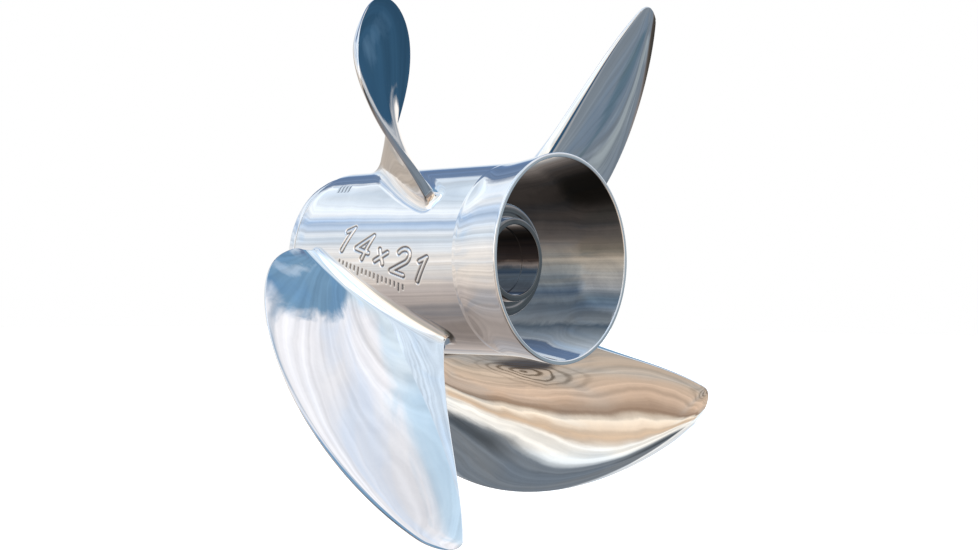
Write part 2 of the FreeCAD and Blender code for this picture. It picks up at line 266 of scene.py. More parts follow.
# Glyphs in units of their own width and height.
GLYPHS = {
    "1": [[(0.2, 0.76), (0.55, 1.0), (0.55, 0.0)]],
    "4": [[(0.74, 0.0), (0.74, 1.0), (0.0, 0.3), (1.0, 0.3)]],
    "x": [[(0.2, 0.12), (0.8, 0.6)], [(0.2, 0.6), (0.8, 0.12)]],
    "2": [arc(0.5, 0.7, 0.42, 0.3, 165, -35) + [(0.06, 0.0), (0.98, 0.0)]],
}


def sloped(line, slope=MARK_SLOPE):
    cosine, sine = math.cos(slope), math.sin(slope)
    return [(cosine * x - sine * y, sine * x + cosine * y) for x, y in line]


def figure_strokes():
    """The size figures' centre lines."""
    strokes = []
    for index, letter in enumerate("14x21"):
        for line in GLYPHS[letter]:
            rise = [(x, GLYPH_HEIGHT * (y - 0.5)) for x, y in line]
            start = GLYPH_STEP * index
            leaning = [(start + GLYPH_WIDTH * x + GLYPH_LEAN * up, up) for x, up in rise]
            strokes.append(sloped(leaning))
    return strokes


def index_strokes():
    """Fine single strokes: an index row under the figures and a hatch near the front."""
    strokes = []
    for step in range(INDEX_STROKES):
        along = INDEX_START + INDEX_STEP * step
        foot = INDEX_SHORT_FOOT if step % 5 else INDEX_LONG_FOOT
        strokes.append(sloped([(along, INDEX_TOP), (along, foot)]))
    for step in range(HATCH_STROKES):
        ends = (HATCH_FOOT, HATCH_HEAD)
        strokes.append([(along + HATCH_STEP * step, up) for along, up in ends])
    return strokes


def stroke_distance(strokes, along, up):
    """Distance from each surface point to the nearest stroke."""
    nearest = np.full(along.shape, 1e3)
    for line in strokes:
        for (x0, y0), (x1, y1) in zip(line[:-1], line[1:]):
            length = max((x1 - x0) ** 2 + (y1 - y0) ** 2, 1e-9)
            share = np.clip(((along - x0) * (x1 - x0) + (up - y0) * (y1 - y0)) / length, 0, 1)
            gap = np.hypot(along - x0 - share * (x1 - x0), up - y0 - share * (y1 - y0))
            nearest = np.minimum(nearest, gap)
    return nearest


# ---------------------------------------------------------------- casting: barrel, hub, ribs

FLARE_SOFTNESS = 0.26
# The flare's soft start reaches this much past its length; its rings are closest where it bends.
FLARE_REACH = 1.22
FLARE_SHARES = (0.06, 0.16, 0.3, 0.45, 0.58, 0.66, 0.72, 0.77, 0.81, 0.85, 0.89, 0.94, 1.0)
GROOVE_PLACE = 6.8
FINE_PLACES = (34.0, 146.0)
FINE_ANGLES = (math.radians(-114.0), math.radians(-32.0))
FINE_STEP = 0.45
COARSE_ANGLE = math.radians(2.0)


def flare(place):
    """The share of the aft flare at a place: a straight cone that starts softly."""
    share = 1 - place / FLARE_LENGTH
    full = 1 + math.sqrt(1 + FLARE_SOFTNESS ** 2)
    return (share + math.sqrt(share ** 2 + FLARE_SOFTNESS ** 2)) / full


def barrel_outline():
    """The barrel's section: outer side from rim to front ring, then back along the bore."""
    rim_inner = RIM_RADIUS - RIM_WALL
    ring_start = BARREL_LENGTH - RING_LENGTH
    groove = BARREL_LENGTH - GROOVE_PLACE
    cone = [FLARE_LENGTH * FLARE_REACH * share for share in FLARE_SHARES]
    outer = [(BARREL_RADIUS + (RIM_RADIUS - BARREL_RADIUS) * flare(place), place) for place in cone]
    fine = np.arange(FINE_PLACES[0], FINE_PLACES[1], FINE_STEP)
    outer += [(BARREL_RADIUS, float(place)) for place in fine]
    inner = [(BARREL_BORE + (rim_inner - BARREL_BORE) * flare(place), place) for place in reversed(cone)]
    front = rounded([
        (BARREL_RADIUS, ring_start - 6.0, 0),
        (BARREL_RADIUS, ring_start, 0.5),
        (BARREL_RADIUS - 1.0, ring_start + 0.4, 0.3),
        (BARREL_RADIUS - 1.0, groove - 0.8, 0.3),
        (RING_RADIUS - 1.4, groove - 0.6, 0.3),
        (RING_RADIUS - 1.4, groove + 0.5, 0.3),
        (RING_RADIUS + 0.9, groove + 0.6, 0.35),
        (RING_RADIUS + 0.9, groove + 3.2, 0.35),
        (RING_RADIUS, groove + 3.5, 0.3),
        (RING_RADIUS, BARREL_LENGTH, 1.3),
        (RING_BORE, BARREL_LENGTH, 1.2),
        (RING_BORE, ring_start, 6.0),
        (BARREL_BORE, ring_start - 5.3, 6.0),
        (BARREL_BORE, ring_start - 12.0, 0),
    ])
    rim = rounded([
        (rim_inner - 1.0, 6.0, 0),
        (rim_inner, 0.0, 0.7),
        (RIM_RADIUS, 0.0, 0.7),
        (RIM_RADIUS - 1.0, 6.0, 0),
    ])[1:-1]
    bore = [(BARREL_BORE, place) for place in (120.0, 90.0, 60.0, 40.0)]
    return rim + outer + front + bore + inner


def barrel_angles():
    fine = np.arange(FINE_ANGLES[0], FINE_ANGLES[1], FINE_STEP / BARREL_RADIUS)
    rest = np.arange(FINE_ANGLES[1], FINE_ANGLES[0] + 2 * math.pi, COARSE_ANGLE)
    return [float(angle) for angle in np.concatenate((fine, rest))]


def make_barrel():
    outline = barrel_outline()
    angles = barrel_angles()
    places = np.array([place for radius, place in outline])[:, None]
    radii = np.array([radius for radius, place in outline])[:, None]
    turns = np.array(angles)[None, :]
    swing = (turns - MARK_ANGLE + math.pi) % (2 * math.pi) - math.pi
    along, up = np.broadcast_arrays(MARK_PLACE - places, swing * BARREL_RADIUS)
    outside = np.abs(radii - BARREL_RADIUS) < 1e-6
    figures = np.abs(stroke_distance(figure_strokes(), along, up) - OUTLINE_REACH)
    reach = np.minimum(figures, stroke_distance(index_strokes(), along, up))
    cut = np.exp(-(reach / STROKE_REACH) ** 4) * outside
    depth = radii - STROKE_DEPTH * cut
    points = np.stack((
        depth * np.sin(turns) * MM,
        np.broadcast_to((places + RIM_PLACE) * MM, depth.shape),
        depth * np.cos(turns) * MM), axis=-1).reshape(-1, 3)
    faces = grid_faces(len(outline), len(angles), True, True)
    piece = add_mesh("barrel", points.tolist(), facing_out(points, faces), 40)
    mask = piece.data.attributes.new("engraved", "FLOAT", "POINT")
    mask.data.foreach_set("value", cut.reshape(-1).astype(np.float32))
    return casting_piece(piece, "outer_barrel")


def seat_radius(angle):
    """The drive sleeve's square seat in the hub, with turned corners."""
    return min(SEAT_HALF / max(abs(math.cos(angle)), abs(math.sin(angle))), SEAT_CORNER)


def make_inner_hub():
    aft_corners = [
        (SOCKET_RADIUS, WEB_AFT, 0.8),
        (SOCKET_RADIUS, COLLAR_PLACE + MOUTH_DEPTH, 0.3),
        (MOUTH_RADIUS, COLLAR_PLACE + MOUTH_DEPTH, 0.3),
        (MOUTH_RADIUS, COLLAR_PLACE, 0.7),
        (COLLAR_RADIUS, COLLAR_PLACE, 1.1),
        (COLLAR_RADIUS, COLLAR_PLACE + HUB_STEP, 1.2),
        (HUB_RADIUS - 5.5, COLLAR_PLACE + HUB_STEP, 0.4),
        (HUB_RADIUS - 4.9, COLLAR_PLACE + HUB_STEP - 0.6, 0.4),
        (HUB_RADIUS, COLLAR_PLACE + HUB_STEP - 0.6, 2.4),
        (HUB_RADIUS, HUB_FRONT, 1.2),
        (28.9, HUB_FRONT, 0),
    ]
    seat = [(None, HUB_FRONT), (None, WEB_FRONT)]
    web = [(WEB_HOLE, WEB_FRONT), (WEB_HOLE, WEB_AFT)]
    outline = rounded(aft_corners) + seat + web
    piece = turned("inner_hub_body", outline, even_angles(192), seat=seat_radius)
    return casting_piece(piece, "inner_hub")


RIB_NOSE = 2.5
RIB_FLARE = 6.0
RIB_ROWS = 26


def make_rib(number):
    """A radial rib with round noses, thickened where it runs into hub and barrel."""
    low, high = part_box(f"exhaust_rib_{number}")
    aft, front = low[1] / MM - RIM_PLACE, high[1] / MM - RIM_PLACE
    turn = math.radians(45 + 90 * (number - 1))
    points = []
    columns = 0
    for row in range(RIB_ROWS):
        share = 0.5 - 0.5 * math.cos(math.pi * row / (RIB_ROWS - 1))
        radius = HUB_RADIUS - 0.6 + share * (BARREL_BORE + 1.2 - HUB_RADIUS)
        gap = min(radius - HUB_RADIUS, BARREL_BORE - radius)
        height = min(max(gap, 0.0), RIB_FLARE)
        grow = RIB_FLARE - math.sqrt(RIB_FLARE ** 2 - (RIB_FLARE - height) ** 2)
        half = RIB_NOSE + grow
        loop = []
        for step in range(9):
            lean = math.pi * step / 8
            loop.append((aft + RIB_NOSE - half * math.sin(lean), half * math.cos(lean)))
        for step in range(9):
            lean = math.pi * step / 8
            loop.append((front - RIB_NOSE + half * math.sin(lean), -half * math.cos(lean)))
        columns = len(loop)
        for place, side in loop:
            points.append((
                (radius * math.sin(turn) + side * math.cos(turn)) * MM,
                (place + RIM_PLACE) * MM,
                (radius * math.cos(turn) - side * math.sin(turn)) * MM))
    faces = grid_faces(RIB_ROWS, columns, False, True)
    faces.append(tuple(reversed(range(columns))))
    faces.append(tuple(range((RIB_ROWS - 1) * columns, RIB_ROWS * columns)))
    piece = add_mesh(f"rib_{number}", points, facing_out(points, faces), 50)
    return casting_piece(piece, f"exhaust_rib_{number}")


# ---------------------------------------------------------------- blades

# The blade's shape as functions of the span fraction u, 0 at the barrel and 1 at the tip.
TRAILING_ANGLE = (-51.0, -22.7, 4.7, 6.8)
TRAILING_PLACE = (57.8, -45.3, -28.3, 14.7)
PITCH = (628.4, -416.7, 418.8)
ROOT_TWIST = 50.0
TWIST_SPAN = 0.18
CHORD = (87.9, 92.5, 194.9, 208.9, -99.8)
TIP_CLOSURE = 0.8
TIP_CORNER = 24.5
CORNER_START = 0.905
ROOT_SWEEP = 15.0
ROOT_SWEEP_SPAN = 0.03
TRAILING_THICKNESS = (5.6, 0.9)
LEADING_THICKNESS = (1.8, 1.0)
BODY_THICKNESS = (4.4, 1.6)
CAMBER = (1.4, 2.4)
FULL_CHORD = 30.0
CUP_DEPTH = 1.6
CUP_LENGTH = 10.0
ROOT_FILLET = 7.0
ROOT_SWELL = 3.6
SWELL_HEIGHT = 24.0
SWELL_LENGTH = 8.0
EDGE_ROUNDING = 0.5
SPAN_ROWS = 96
FACE_COLUMNS = 60
SPAN_START = -0.006
SPAN_END = 0.9996


def polynomial(coefficients, u):
    return sum(factor * u ** power for power, factor in enumerate(coefficients))


def between(ends, u):
    return ends[0] + (ends[1] - ends[0]) * u


def widened(loop, growth):
    """A closed loop moved outwards by growth, so that sharp corners turn into arcs round them."""
    points = np.array(loop)
    ahead = np.roll(points, -1, axis=0) - points
    ahead /= np.maximum(np.linalg.norm(ahead, axis=1), 1e-9)[:, None]
    along = ahead + np.roll(ahead, 1, axis=0)
    along /= np.maximum(np.linalg.norm(along, axis=1), 1e-9)[:, None]
    outward = np.stack((along[:, 1], -along[:, 0]), axis=1)
    return [tuple(point) for point in points + growth * outward]


def blade_section(u):
    """One closed section loop: (along the chord, lift towards the suction side) in mm."""
    radius = BARREL_RADIUS + (TIP_RADIUS - BARREL_RADIUS) * u
    corner = max(0.0, (u - CORNER_START) / (1 - CORNER_START))
    trailing = TIP_CORNER * (1 - math.sqrt(1 - corner ** 2))
    leading = TIP_CORNER + polynomial(CHORD, u) * (1 - u) ** TIP_CLOSURE
    leading -= ROOT_SWEEP * math.exp(-max(u, 0.0) / ROOT_SWEEP_SPAN)
    chord = leading - trailing
    fullness = 1 - math.exp(-chord / FULL_CHORD)
    nose = min(between(LEADING_THICKNESS, u) / 2, chord / 4)
    rounding = min(EDGE_ROUNDING, chord / 8)
    swell = ROOT_SWELL * math.exp(-max(radius - BARREL_RADIUS, 0.0) / SWELL_HEIGHT)

    def faces_at(along):
        x = min(max((along - trailing) / chord, 0.0), 1.0)
        bulge = 4 * x * (1 - x) * fullness
        depth = max(along, 0.0)
        cup = CUP_DEPTH * fullness * (1 - math.exp(-depth / CUP_LENGTH)) * (1 - x)
        pressure = between(CAMBER, u) * bulge + cup
        thickness = between(TRAILING_THICKNESS, u) * (1 - x) + between(LEADING_THICKNESS, u) * x
        thickness += between(BODY_THICKNESS, u) * bulge
        thickened = swell * (1 - math.exp(-depth / SWELL_LENGTH)) * (1 - x ** 3)
        return pressure - thickened, pressure + thickness

    stations = [0.5 - 0.5 * math.cos(math.pi * step / (FACE_COLUMNS - 1)) for step in range(FACE_COLUMNS)]
    alongs = [trailing + rounding + (chord - rounding - nose) * share for share in stations]
    loop = [(along, faces_at(along)[0]) for along in alongs]
    low, high = faces_at(leading - nose)
    middle, half = (low + high) / 2, (high - low) / 2
    for step in range(1, 10):
        lean = math.pi * (step / 10 - 0.5)
        loop.append((leading - nose + nose * math.cos(lean), middle + half * math.sin(lean)))
    loop += [(along, faces_at(along)[1]) for along in reversed(alongs)]
    low, high = faces_at(trailing)
    for step in range(1, 8):
        lean = math.pi / 2 * step / 7
        loop.append((trailing + rounding * (1 - math.sin(lean)), high - rounding * (1 - math.cos(lean))))
    for step in range(0, 7):
        lean = math.pi / 2 * step / 7
        loop.append((trailing + rounding * (1 - math.cos(lean)), low + rounding * (1 - math.sin(lean))))
    height = min(max(radius - BARREL_RADIUS, 0.0), ROOT_FILLET)
    foot = ROOT_FILLET - math.sqrt(ROOT_FILLET ** 2 - (ROOT_FILLET - height) ** 2)
    return radius, widened(loop, foot) if foot > 0.001 else loop


def make_blade(number):
    phase = math.radians(90 * (number - 1))
    points = []
    columns = 0
    for row in range(SPAN_ROWS):
        share = 0.5 - 0.5 * math.cos(math.pi * (row - 1) / (SPAN_ROWS - 2))
        u = SPAN_START if row == 0 else SPAN_END * share
        radius, loop = blade_section(u)
        angle = math.radians(polynomial(TRAILING_ANGLE, u)) + phase
        place = polynomial(TRAILING_PLACE, u)
        pitch = polynomial(PITCH, u) - ROOT_TWIST * math.exp(-max(u, 0.0) / TWIST_SPAN)
        slope = math.atan(pitch / (2 * math.pi * radius))
        columns = len(loop)
        for along, lift in loop:
            swing = angle + (along * math.cos(slope) - lift * math.sin(slope)) / radius
            forward = place + along * math.sin(slope) + lift * math.cos(slope)
            points.append(shaft_point(radius, swing, forward))
    faces = grid_faces(SPAN_ROWS, columns, False, True)
    faces.append(tuple(reversed(range(columns))))
    faces.append(tuple(range((SPAN_ROWS - 1) * columns, SPAN_ROWS * columns)))
    piece = add_mesh(f"blade_form_{number}", points, facing_out(points, faces), 50)
    return casting_piece(piece, f"blade_{number}")


barrel = make_barrel()
inner_hub = make_inner_hub()
ribs = [make_rib(number) for number in range(1, BLADES + 1)]
blades = [make_blade(number) for number in range(1, BLADES + 1)]

# ---------------------------------------------------------------- materials


class Nodes:
    """Short calls for building one node tree."""

    def __init__(self, tree):
        self.tree = tree
        self.tree.nodes.clear()

    def add(self, kind, settings=None, **inputs):
        node = self.tree.nodes.new(kind)
        for key, value in (settings or {}).items():
            setattr(node, key, value)
        for key, value in inputs.items():
            numbered = key[0] == "i" and key[1:].isdigit()
            self.feed(value, node.inputs[int(key[1:]) if numbered else key.replace("_", " ")])
        return node

    def feed(self, value, socket):
        if isinstance(value, bpy.types.NodeSocket):
            self.tree.links.new(value, socket)
        elif isinstance(value, bpy.types.Node):
            self.tree.links.new(value.outputs[0], socket)
        else:
            socket.default_value = value

    def math(self, operation, first, second=0.0):
        return self.add("ShaderNodeMath", {"operation": operation}, i0=first, i1=second).outputs[0]

    def noise(self, vector, scale, detail=3.0, roughness=0.5, distortion=0.0):
        node = self.add("ShaderNodeTexNoise", {"noise_dimensions": "3D"}, Vector=vector, Scale=scale,
                        Detail=detail, Roughness=roughness, Distortion=distortion)
        return node.outputs["Fac"]

    def stretched(self, vector, scale):
        return self.add("ShaderNodeMapping", None, Vector=vector, Scale=scale).outputs[0]

    def spread(self, value, low, high, out_low, out_high):
        node = self.add("ShaderNodeMapRange", {"clamp": True}, Value=value)
        for key, number in zip(("From Min", "From Max", "To Min", "To Max"), (low, high, out_low, out_high)):
            node.inputs[key].default_value = number
        return node.outputs[0]

    def ramp(self, value, stops):
        node = self.add("ShaderNodeValToRGB", None, Fac=value)
        elements = node.color_ramp.elements
        while len(elements) < len(stops):
            elements.new(0.5)
        for element, (place, colour) in zip(elements, stops):
            element.position = place
            element.color = (*colour, 1.0)
        return node.outputs["Color"]

    def mix(self, share, first, second):
        node = self.add("ShaderNodeMix", {"data_type": "RGBA"})
        self.feed(share, node.inputs[0])
        self.feed(first, node.inputs[6])
        self.feed(second, node.inputs[7])
        return node.outputs[2]

    def length_squared(self, across, rise, reach, tilt):
        """How far out a point is on an ellipse with its own reaches and tilt; 1 on the edge."""
        cosine, sine = math.cos(tilt), math.sin(tilt)
        total = None
        for first, second, size in ((cosine, sine, reach[0]), (-sine, cosine, reach[1])):
            run = self.math("MULTIPLY", across, first / size)
            lift = self.math("MULTIPLY", rise, second / size)
            part = self.math("ADD", run, lift)
            square = self.math("MULTIPLY", part, part)
            total = square if total is None else self.math("ADD", total, square)
        return total

    def bump(self, height, distance, strength=1.0, normal=None):
        node = self.add("ShaderNodeBump", None, Height=height, Distance=distance, Strength=strength)
        if normal is not None:
            self.feed(normal, node.inputs["Normal"])
        return node.outputs[0]


def new_material(name):
    material = bpy.data.materials.new(name)
    material.use_nodes = True
    nodes = Nodes(material.node_tree)
    place = nodes.add("ShaderNodeTexCoord").outputs["Object"]
    return material, nodes, place


def finish_material(nodes, **inputs):
    shader = nodes.add("ShaderNodeBsdfPrincipled")
    for key, value in inputs.items():
        nodes.feed(value, shader.inputs[key.replace("_", " ")])
    nodes.add("ShaderNodeOutputMaterial", None, Surface=shader.outputs[0])


def polished_steel(name, engraved=False):
    """Buffed stainless: slow waviness from hand polishing, hairlines round the shaft, a faint filmy haze."""
    material, nodes, place = new_material(name)
    wave = nodes.noise(place, 22.0, 2.0, 0.45)
    peel = nodes.noise(place, 210.0, 2.0, 0.5)
    hair = nodes.noise(nodes.stretched(place, (40.0, 5200.0, 40.0)), 1.0, 3.0, 0.65)
    film_and_painted_bands = nodes.noise(place, 48.0, 5.0, 0.6, 0.8)
    scuff = nodes.noise(nodes.stretched(place, (900.0, 900.0, 60.0)), 1.0, 4.0, 0.7)
    colour = nodes.ramp(film_and_painted_bands, [(0.3, (0.80, 0.81, 0.83)), (0.7, (0.87, 0.875, 0.88))])
    roughness = nodes.spread(film_and_painted_bands, 0.35, 0.75, 0.02, 0.055)
    roughness = nodes.math("ADD", roughness, nodes.spread(scuff, 0.62, 0.80, 0.0, 0.05))
    normal = nodes.bump(wave, 0.0008, 0.35)
    normal = nodes.bump(peel, 0.00002, 0.25, normal)
    normal = nodes.bump(hair, 0.000004, 0.3, normal)
    if engraved:
        mask = nodes.add("ShaderNodeAttribute", {"attribute_name": "engraved"}).outputs["Fac"]
        colour = nodes.mix(mask, colour, (0.17, 0.17, 0.19, 1.0))
        roughness = nodes.math("MAXIMUM", roughness, nodes.math("MULTIPLY", mask, 0.32))
    finish_material(nodes, Base_Color=colour, Metallic=1.0, Roughness=roughness, Normal=normal)
    return material


# The ramp of painted shade and painted reflection bands runs over this height either side of the
# shaft, in mm, and holds factors divided by the band scale.
BAND_REACH = 55.0
PAINTED_BAND_SCALE = 3.0


def cast_steel(name, tone, bands=()):
    """Stainless inside the casting in a dark tone that is painted shade for its hollows; bands (height in
    mm, factor) add painted shade and painted reflections.
    """
    material, nodes, place = new_material(name)
    grain = nodes.noise(place, 900.0, 4.0, 0.6)
    wave = nodes.noise(place, 60.0, 3.0, 0.5)
    stain = nodes.noise(place, 35.0, 5.0, 0.65, 1.2)
    dark = (tone * 0.84, tone * 0.84, tone * 0.86)
    pale = (tone * 1.1, tone * 1.1, tone * 1.1)
    colour = nodes.ramp(stain, [(0.3, dark), (0.66, pale)])
    # Painted shade and painted reflections: the colour is multiplied by factors that change with height.
    if bands:
        height = nodes.add("ShaderNodeSeparateXYZ", None, Vector=place).outputs["Z"]
        wavy = nodes.math("ADD", height, nodes.spread(stain, 0.3, 0.7, -0.0015, 0.0015))
        share = nodes.spread(wavy, -BAND_REACH * MM, BAND_REACH * MM, 0.0, 1.0)
        film_and_painted_bands = nodes.ramp(share, [
            (0.5 + level / (2 * BAND_REACH), tuple(factor / PAINTED_BAND_SCALE for factor in factors))
            for level, factors in bands])
        product = nodes.add("ShaderNodeMix", {"data_type": "RGBA", "blend_type": "MULTIPLY"})
        nodes.feed(1.0, product.inputs[0])
        nodes.feed(colour, product.inputs[6])
        nodes.feed(film_and_painted_bands, product.inputs[7])
        scaled = nodes.add(
            "ShaderNodeVectorMath", {"operation": "SCALE"}, i0=product.outputs[2], Scale=PAINTED_BAND_SCALE)
        colour = scaled.outputs[0]
    roughness = nodes.spread(stain, 0.3, 0.7, 0.03, 0.08)
    normal = nodes.bump(wave, 0.0004, 0.2)
    normal = nodes.bump(grain, 0.00002, 0.2, normal)
    finish_material(nodes, Base_Color=colour, Metallic=1.0, Roughness=roughness, Normal=normal)
    return material


def machined_bronze(name):
    material, nodes, place = new_material(name)
    lathe = nodes.noise(nodes.stretched(place, (60.0, 4200.0, 60.0)), 1.0, 3.0, 0.6)
    tarnish = nodes.noise(place, 90.0, 5.0, 0.62, 1.0)
    colour = nodes.ramp(tarnish, [
        (0.32, (0.36, 0.21, 0.085)),
        (0.5, (0.62, 0.40, 0.17)),
        (0.72, (0.76, 0.53, 0.26)),
    ])
    roughness = nodes.spread(tarnish, 0.3, 0.7, 0.42, 0.22)
    normal = nodes.bump(lathe, 0.00004, 0.45)
    finish_material(nodes, Base_Color=colour, Metallic=1.0, Roughness=roughness, Normal=normal)
    return material


def plated_steel(name):
    material, nodes, place = new_material(name)
    grain = nodes.noise(place, 1400.0, 3.0, 0.6)
    cloud = nodes.noise(place, 120.0, 4.0, 0.6, 0.6)
    colour = nodes.ramp(cloud, [(0.35, (0.50, 0.50, 0.49)), (0.65, (0.68, 0.675, 0.64))])
    roughness = nodes.spread(cloud, 0.3, 0.7, 0.24, 0.40)
    normal = nodes.bump(grain, 0.00002, 0.4)
    finish_material(nodes, Base_Color=colour, Metallic=1.0, Roughness=roughness, Normal=normal)
    return material


def moulded_polymer(name, dark, pale, roughness_low, roughness_high):
    material, nodes, place = new_material(name)
    grain = nodes.noise(place, 1100.0, 4.0, 0.6)
    cloud = nodes.noise(place, 70.0, 4.0, 0.55)
    colour = nodes.ramp(cloud, [(0.3, dark), (0.7, pale)])
    roughness = nodes.spread(cloud, 0.3, 0.7, roughness_low, roughness_high)
    normal = nodes.bump(grain, 0.00005, 0.4)
    finish_material(nodes, Base_Color=colour, Roughness=roughness, Normal=normal, IOR=1.49)
    return material


def dress(node, material):
    """Gives a carried-over CAD node its material."""
    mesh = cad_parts[node].data
    mesh.materials.clear()
    mesh.materials.append(material)


def give_materials(piece, materials, zone):
    """Assigns each face the material whose number zone(radius, place, lean) gives.

    The lean is positive where a face looks outwards.
    """
    for material in materials:
        piece.data.materials.append(material)
    for face in piece.data.polygons:
        across, along, up = face.center
        radius = math.hypot(across, up)
        lean = (face.normal.x * across + face.normal.z * up) / radius
        face.material_index = zone(radius / MM, along / MM - RIM_PLACE, lean)


def barrel_zone(radius, place, lean):
    """0 on the outside, the rim and the front ring, 1 in the bore."""
    return 1 if lean < -0.5 and 0.5 < place < BARREL_LENGTH - 1.5 else 0


def hub_zone(radius, place, lean):
    """0 on the outside and the front, 1 on the aft steps, 2 in the socket."""
    if radius < MOUTH_RADIUS + 0.3:
        return 2
    return 1 if place < COLLAR_PLACE + HUB_STEP + 3.0 else 0


STEEL = polished_steel("polished_stainless")
BARREL_STEEL = polished_steel("polished_stainless_engraved", engraved=True)
# Painted shade and painted reflections by height in mm: the upper bore and socket are darkened as
# painted shade, and the brighter tan and blue bands lower down are painted light and reflections.
# The factors were set for the reference view, so the bands suit it best.
BORE_PAINTED_LIGHT = (
    (-53, (4, 4, 4)), (-46, (2, 2, 2)), (-38, (0.5, 0.6, 0.7)), (-35, (1.2, 1.2, 1.2)),
    (-25, (0.6, 0.7, 0.8)), (0, (1.7, 1.7, 1.6)), (10, (1.5, 1.4, 1.3)), (16, (0.8, 0.8, 0.8)),
    (50, (0.4, 0.4, 0.4)),
)
SOCKET_PAINTED_LIGHT = (
    (-18, (0.4, 0.4, 0.5)), (-10, (1.5, 1.7, 1.9)), (-5, (0.9, 1.1, 1.3)), (-2, (2.5, 2.1, 1.9)),
    (1, (0.5, 0.4, 0.4)), (20, (0.3, 0.3, 0.3)),
)
# The dark tones of the bore, the hub steps, the socket and the cast hub and ribs are painted shade for the
# hollow barrel.
BORE_STEEL = cast_steel("bore_painted_shade_and_reflections", 0.17, BORE_PAINTED_LIGHT)
HUB_STEEL = cast_steel("hub_face", 0.19)
SOCKET_STEEL = cast_steel("hub_socket", 0.06, SOCKET_PAINTED_LIGHT)
CAST = cast_steel("cast_stainless", 0.30)
BRONZE = machined_bronze("machined_bronze")
PLATED = plated_steel("plated_steel")
SLEEVE = moulded_polymer("sleeve_polymer", (0.012, 0.013, 0.014), (0.022, 0.023, 0.025), 0.42, 0.6)
NYLON = moulded_polymer("nylon", (0.62, 0.60, 0.55), (0.74, 0.72, 0.67), 0.35, 0.5)

give_materials(barrel, (BARREL_STEEL, BORE_STEEL), barrel_zone)
give_materials(inner_hub, (CAST, HUB_STEEL, SOCKET_STEEL), hub_zone)
for piece in ribs:
    piece.data.materials.append(CAST)
for piece in blades:
    piece.data.materials.append(STEEL)
dress("drive_sleeve", SLEEVE)
dress("spline_adapter", BRONZE)
dress("thrust_washer", BRONZE)
for node in ("aft_spacer", "tab_washer", "prop_nut"):
    dress(node, PLATED)
dress("nut_lock_ring", NYLON)

# ---------------------------------------------------------------- floor, sky and lamps

FLOOR_PLACE = -0.1595
STEEL_SHARE = 0.84

# The light round the object by elevation in degrees, as 0-255 tones that the steel shows. They
# are rounded from tones read in the reference view, so they suit that view best.
FRONT_SKY = (
    (-90, (60, 55, 50)), (-60, (75, 70, 65)), (-45, (145, 135, 130)), (-25, (185, 175, 170)),
    (-10, (225, 215, 205)), (8, (240, 235, 230)), (17, (205, 215, 225)), (22, (230, 235, 240)),
    (30, (175, 195, 220)), (37, (240, 245, 250)), (47, (205, 220, 235)), (90, (225, 240, 250)),
)
SIDE_SKY = (
    (-90, (90, 85, 80)), (-50, (110, 110, 105)), (-30, (180, 170, 165)), (-10, (180, 175, 165)),
    (-2, (250, 235, 220)), (10, (290, 280, 270)), (30, (295, 295, 300)), (40, (230, 255, 275)),
    (60, (300, 310, 325)), (90, (320, 325, 330)),
)
BACK_SKY = (
    (-90, (85, 75, 70)), (-60, (160, 150, 140)), (-38, (205, 185, 165)), (-25, (215, 185, 160)),
    (-20, (150, 125, 105)), (-17, (250, 235, 215)), (-11, (225, 195, 165)), (-8, (255, 250, 240)),
    (30, (220, 225, 230)), (60, (210, 225, 240)), (90, (220, 235, 250)),
)
# Stretches with a tone of their own:
# (azimuth, elevation), (reach across, reach up), tilt, tone, weight, softness of the edge.
SKY_PATCHES = (
    ((40, 30), (25, 12), 0, (110, 130, 160), 1.0, 0.2),
    ((105, -25), (45, 30), 0, (120, 130, 140), 1.0, 0.3),
    ((100, -20), (3, 12), 10, (90, 110, 120), 0.8, 0.8),
    ((115, -35), (5, 15), 10, (160, 170, 175), 0.8, 0.8),
    ((130, 0), (22, 14), 0, (135, 150, 160), 0.9, 0.3),
    ((33, -2), (12, 13), 0, (160, 150, 140), 0.9, 0.5),
    ((65, 5), (15, 12), 0, (50, 80, 105), 1.0, 0.3),
    ((118, 44), (35, 35), 0, (240, 240, 245), 1.0, 0.3),
    ((77, 37), (18, 27), 0, (115, 150, 180), 1.0, 0.3),
    ((75, 30), (3, 9), 60, (180, 200, 220), 0.7, 0.9),
    ((170, 55), (20, 10), 0, (185, 210, 230), 0.9, 0.7),
    ((-122, 8), (14, 14), 0, (250, 255, 255), 1.0, 0.3),
    ((-160, 8), (20, 11), 25, (120, 125, 130), 1.0, 0.3),
    ((-150, 7), (10, 3), 30, (70, 75, 80), 0.8, 0.8),
    ((-145, -47), (12, 5), 10, (65, 65, 70), 0.9, 0.5),
)
# Where the light lies in fine rings: (azimuth, elevation), reach, tone.
SKY_RINGS = (
    ((-145, -40), 22, (90, 75, 60)),
)


def make_floor():
    size = 6.0
    sides = ((-size, -size), (size, -size), (size, size), (-size, size))
    corners = [(across, along, FLOOR_PLACE) for across, along in sides]
    floor = add_mesh("floor", corners, [(0, 1, 2, 3)])
    material, nodes, place = new_material("pale_floor")
    tone = nodes.ramp(nodes.noise(place, 3.0, 2.0), [(0.3, (0.86, 0.86, 0.86)), (0.7, (0.88, 0.88, 0.88))])
    finish_material(
        nodes, Base_Color=tone, Roughness=0.9,
        Emission_Color=(1.0, 1.0, 1.0, 1.0), Emission_Strength=0.62)
    floor.data.materials.append(material)
    floor.visible_glossy = False
    floor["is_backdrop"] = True


def shown(red, green, blue):
    """A light colour from the 0-255 tone that polished steel shows when it reflects it."""
    return tuple((tone / 255) ** 2.2 / STEEL_SHARE for tone in (red, green, blue))


def height_share(degrees):
    """Where an elevation falls on a ramp that runs from straight down to straight up."""
    return 0.5 + degrees / 180


